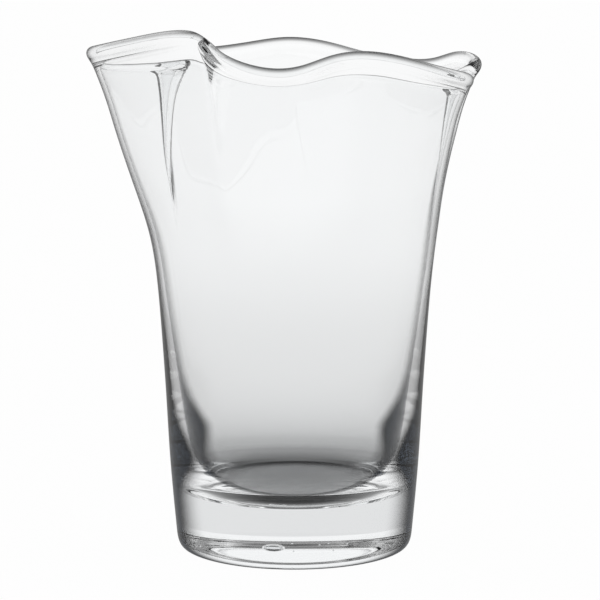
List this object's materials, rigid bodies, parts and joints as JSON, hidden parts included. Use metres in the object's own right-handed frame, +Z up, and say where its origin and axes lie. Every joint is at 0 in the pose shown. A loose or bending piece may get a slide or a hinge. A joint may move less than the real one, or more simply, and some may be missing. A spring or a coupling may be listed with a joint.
{
  "type": "vase",
  "caption": "Clear glass vase with a thick solid base, a round body that flares upwards, and a rim folded into soft lobes with a rounded lip.",
  "frame": {"origin": "middle of the flat underside of the base", "axes": "+Z up along the axis of the round body, -Y towards the camera side of the picture, +X to its right"},
  "size_m": [0.1344, 0.1227, 0.1804],
  "materials": {
    "clear_glass": "clear, fire polished, smooth and slightly uneven by hand"
  },
  "bodies": {
    "root": {"solid_base": "clear_glass", "vessel_wall": "clear_glass", "fire_polished_lip": "clear_glass"}
  },
  "joints": []
}
